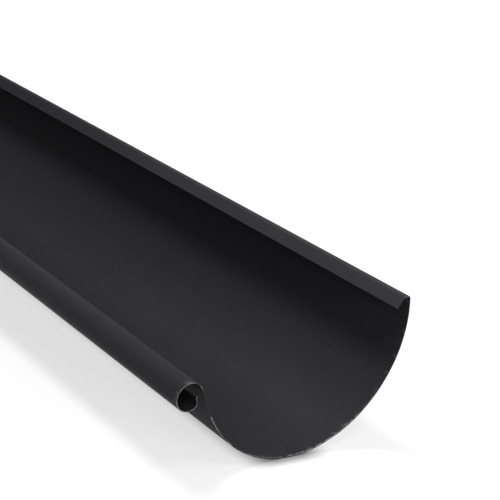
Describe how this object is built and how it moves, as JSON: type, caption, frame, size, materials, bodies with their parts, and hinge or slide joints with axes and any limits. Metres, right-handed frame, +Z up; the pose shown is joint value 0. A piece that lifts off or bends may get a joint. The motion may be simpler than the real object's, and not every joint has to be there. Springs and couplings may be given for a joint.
{
  "type": "half-round gutter section",
  "caption": "Length of half-round roof gutter in coated steel sheet, with an open rolled bead along its front edge and a folded back edge.",
  "frame": {"origin": "middle of the bottom of the bounding box, on the floor", "axes": "+X runs along the gutter, -Y is the front with the open bead, +Y is the back with the folded edge, +Z is up. The gutter lies as it comes to rest on a level floor, rolled about 15 degrees towards its bead."},
  "size_m": [2, 0.1654, 0.0965],
  "materials": {
    "coated_sheet": "satin"
  },
  "bodies": {
    "root": {"gutter": "coated_sheet"}
  },
  "joints": []
}
